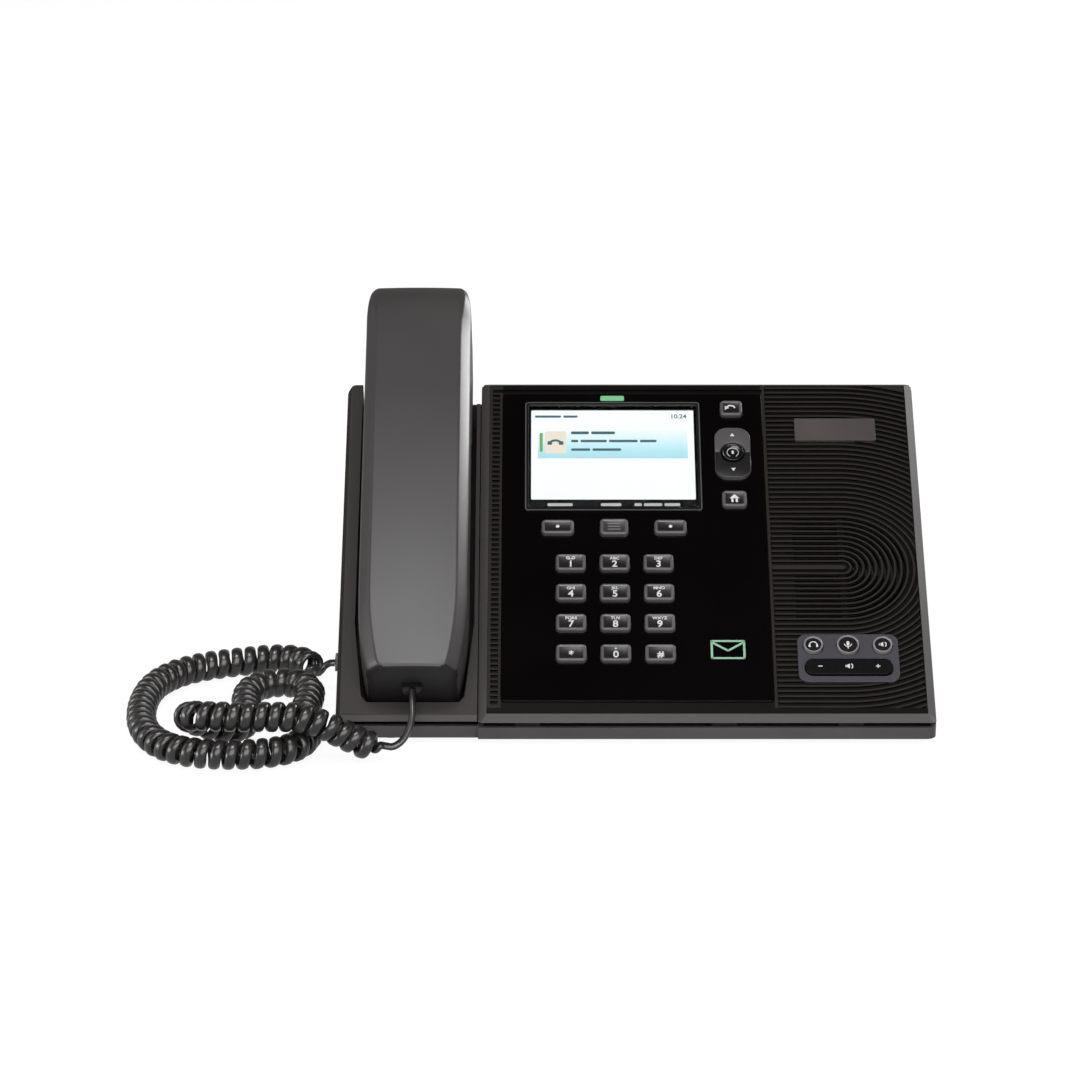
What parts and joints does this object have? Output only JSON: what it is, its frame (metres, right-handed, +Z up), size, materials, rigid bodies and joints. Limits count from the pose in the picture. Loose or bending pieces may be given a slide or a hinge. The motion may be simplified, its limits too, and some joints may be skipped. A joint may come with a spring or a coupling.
{
  "type": "desk IP phone",
  "caption": "Desk IP phone: sloping body with colour display, dial pad, soft and navigation keys and ribbed speaker grille, handset in a side cradle with a curly cord, on a rear stand.",
  "frame": {"origin": "centre of the phone's footprint on the desk, without the cord", "axes": "+X across the phone to the right as the user sees it, +Y to the rear, +Z up"},
  "size_m": [0.3252, 0.2068, 0.143],
  "materials": {
    "dark_plastic": "fine texture, dark grey",
    "face_plastic": "satin black",
    "gloss_black": "high gloss black",
    "key_plastic": "satin dark grey with light legends",
    "audio_key_plastic": "satin grey rim",
    "rocker_plastic": "semi gloss black",
    "plate_plastic": "satin grey",
    "badge_plastic": "satin warm grey, bare",
    "trim_plastic": "semi gloss grey",
    "clear_window": "clear",
    "display_white": "lit display",
    "light_green": "lit green",
    "speaker_body": "black",
    "silicone": "grey silicone",
    "circuit_green": "solder mask",
    "socket_metal": "plated shield",
    "socket_black": "black",
    "rubber_black": "matt",
    "screw_steel": "plated",
    "handset_plastic": "soft matt warm grey",
    "plug_clear": "clear plastic",
    "cord_black": "glossy black jacket"
  },
  "bodies": {
    "base": {"base_housing": "dark_plastic", "front_cover": "face_plastic", "cradle_housing": "dark_plastic", "faceplate_panel": "gloss_black", "display_trim": "trim_plastic", "display_window": "clear_window", "lcd_module": "display_white", "status_light_pipe": "light_green", "speaker_grille": "face_plastic", "loudspeaker": "speaker_body", "audio_key_plate": "plate_plastic", "badge_plate": "badge_plastic", "key_membrane": "silicone", "main_board": "circuit_green", "connector_board": "circuit_green", "lan_jack": "socket_metal", "pc_jack": "socket_metal", "headset_jack": "socket_black", "base_handset_jack": "socket_black", "stand": "dark_plastic", "rubber_feet": "rubber_black", "housing_screws": "screw_steel", "hook_switch": "circuit_green", "base_plug": "plug_clear", "cord_coil": "cord_black", "cord_lead_base": "cord_black", "cord_lead_handset": "cord_black"},
    "handset": {"handset_outer_shell": "handset_plastic", "handset_inner_shell": "handset_plastic", "earpiece_receiver": "speaker_body", "handset_microphone": "speaker_body", "handset_jack": "socket_black", "handset_screws": "screw_steel", "handset_plug": "plug_clear"},
    "hook_plunger": {"hook_plunger": "dark_plastic"},
    "volume_rocker": {"volume_rocker": "rocker_plastic"},
    "dial_key_1": {"dial_key_1": "key_plastic"},
    "dial_key_2": {"dial_key_2": "key_plastic"},
    "dial_key_3": {"dial_key_3": "key_plastic"},
    "dial_key_4": {"dial_key_4": "key_plastic"},
    "dial_key_5": {"dial_key_5": "key_plastic"},
    "dial_key_6": {"dial_key_6": "key_plastic"},
    "dial_key_7": {"dial_key_7": "key_plastic"},
    "dial_key_8": {"dial_key_8": "key_plastic"},
    "dial_key_9": {"dial_key_9": "key_plastic"},
    "dial_key_10": {"dial_key_10": "key_plastic"},
    "dial_key_11": {"dial_key_11": "key_plastic"},
    "dial_key_12": {"dial_key_12": "key_plastic"},
    "soft_key_left": {"soft_key_left": "key_plastic"},
    "soft_key_middle": {"soft_key_middle": "key_plastic"},
    "soft_key_right": {"soft_key_right": "key_plastic"},
    "back_key": {"back_key": "key_plastic"},
    "home_key": {"home_key": "key_plastic"},
    "nav_up_key": {"nav_up_key": "key_plastic"},
    "nav_down_key": {"nav_down_key": "key_plastic"},
    "select_key": {"select_key": "key_plastic"},
    "headset_key": {"headset_key": "audio_key_plastic"},
    "mute_key": {"mute_key": "audio_key_plastic"},
    "speaker_key": {"speaker_key": "audio_key_plastic"}
  },
  "joints": [
    {"name": "handset_lift", "type": "slide", "parent": "base", "child": "handset", "axis": [0, -0.515, 0.8572], "range_m": [0, 0.08]},
    {"name": "hook_rise", "type": "slide", "parent": "base", "child": "hook_plunger", "axis": [0, -0.515, 0.8572], "range_m": [0, 0.003]},
    {"name": "volume_rock", "type": "hinge", "parent": "base", "child": "volume_rocker", "pos_m": [0.086, -0.0648, 0.02105], "axis": [0, 0.8572, 0.515], "range_deg": [-2.5, 2.5], "stiffness_Nm_per_rad": 0.3},
    {"name": "dial_key_1_press", "type": "slide", "parent": "base", "child": "dial_key_1", "axis": [0, 0.515, -0.8572], "range_m": [0, 0.001], "stiffness_N_per_m": 600, "springref_m": -0.0008},
    {"name": "dial_key_2_press", "type": "slide", "parent": "base", "child": "dial_key_2", "axis": [0, 0.515, -0.8572], "range_m": [0, 0.001], "stiffness_N_per_m": 600, "springref_m": -0.0008},
    {"name": "dial_key_3_press", "type": "slide", "parent": "base", "child": "dial_key_3", "axis": [0, 0.515, -0.8572], "range_m": [0, 0.001], "stiffness_N_per_m": 600, "springref_m": -0.0008},
    {"name": "dial_key_4_press", "type": "slide", "parent": "base", "child": "dial_key_4", "axis": [0, 0.515, -0.8572], "range_m": [0, 0.001], "stiffness_N_per_m": 600, "springref_m": -0.0008},
    {"name": "dial_key_5_press", "type": "slide", "parent": "base", "child": "dial_key_5", "axis": [0, 0.515, -0.8572], "range_m": [0, 0.001], "stiffness_N_per_m": 600, "springref_m": -0.0008},
    {"name": "dial_key_6_press", "type": "slide", "parent": "base", "child": "dial_key_6", "axis": [0, 0.515, -0.8572], "range_m": [0, 0.001], "stiffness_N_per_m": 600, "springref_m": -0.0008},
    {"name": "dial_key_7_press", "type": "slide", "parent": "base", "child": "dial_key_7", "axis": [0, 0.515, -0.8572], "range_m": [0, 0.001], "stiffness_N_per_m": 600, "springref_m": -0.0008},
    {"name": "dial_key_8_press", "type": "slide", "parent": "base", "child": "dial_key_8", "axis": [0, 0.515, -0.8572], "range_m": [0, 0.001], "stiffness_N_per_m": 600, "springref_m": -0.0008},
    {"name": "dial_key_9_press", "type": "slide", "parent": "base", "child": "dial_key_9", "axis": [0, 0.515, -0.8572], "range_m": [0, 0.001], "stiffness_N_per_m": 600, "springref_m": -0.0008},
    {"name": "dial_key_10_press", "type": "slide", "parent": "base", "child": "dial_key_10", "axis": [0, 0.515, -0.8572], "range_m": [0, 0.001], "stiffness_N_per_m": 600, "springref_m": -0.0008},
    {"name": "dial_key_11_press", "type": "slide", "parent": "base", "child": "dial_key_11", "axis": [0, 0.515, -0.8572], "range_m": [0, 0.001], "stiffness_N_per_m": 600, "springref_m": -0.0008},
    {"name": "dial_key_12_press", "type": "slide", "parent": "base", "child": "dial_key_12", "axis": [0, 0.515, -0.8572], "range_m": [0, 0.001], "stiffness_N_per_m": 600, "springref_m": -0.0008},
    {"name": "soft_key_left_press", "type": "slide", "parent": "base", "child": "soft_key_left", "axis": [0, 0.515, -0.8572], "range_m": [0, 0.001], "stiffness_N_per_m": 600, "springref_m": -0.0008},
    {"name": "soft_key_middle_press", "type": "slide", "parent": "base", "child": "soft_key_middle", "axis": [0, 0.515, -0.8572], "range_m": [0, 0.001], "stiffness_N_per_m": 600, "springref_m": -0.0008},
    {"name": "soft_key_right_press", "type": "slide", "parent": "base", "child": "soft_key_right", "axis": [0, 0.515, -0.8572], "range_m": [0, 0.001], "stiffness_N_per_m": 600, "springref_m": -0.0008},
    {"name": "back_key_press", "type": "slide", "parent": "base", "child": "back_key", "axis": [0, 0.515, -0.8572], "range_m": [0, 0.001], "stiffness_N_per_m": 600, "springref_m": -0.0008},
    {"name": "home_key_press", "type": "slide", "parent": "base", "child": "home_key", "axis": [0, 0.515, -0.8572], "range_m": [0, 0.001], "stiffness_N_per_m": 600, "springref_m": -0.0008},
    {"name": "nav_up_key_press", "type": "slide", "parent": "base", "child": "nav_up_key", "axis": [0, 0.515, -0.8572], "range_m": [0, 0.001], "stiffness_N_per_m": 600, "springref_m": -0.0008},
    {"name": "nav_down_key_press", "type": "slide", "parent": "base", "child": "nav_down_key", "axis": [0, 0.515, -0.8572], "range_m": [0, 0.001], "stiffness_N_per_m": 600, "springref_m": -0.0008},
    {"name": "select_key_press", "type": "slide", "parent": "base", "child": "select_key", "axis": [0, 0.515, -0.8572], "range_m": [0, 0.001], "stiffness_N_per_m": 600, "springref_m": -0.0008},
    {"name": "headset_key_press", "type": "slide", "parent": "base", "child": "headset_key", "axis": [0, 0.515, -0.8572], "range_m": [0, 0.001], "stiffness_N_per_m": 600, "springref_m": -0.0008},
    {"name": "mute_key_press", "type": "slide", "parent": "base", "child": "mute_key", "axis": [0, 0.515, -0.8572], "range_m": [0, 0.001], "stiffness_N_per_m": 600, "springref_m": -0.0008},
    {"name": "speaker_key_press", "type": "slide", "parent": "base", "child": "speaker_key", "axis": [0, 0.515, -0.8572], "range_m": [0, 0.001], "stiffness_N_per_m": 600, "springref_m": -0.0008}
  ],
  "couplings": [
    {"joint": "hook_rise", "follows": "handset_lift", "ratio": 0.0375}
  ]
}
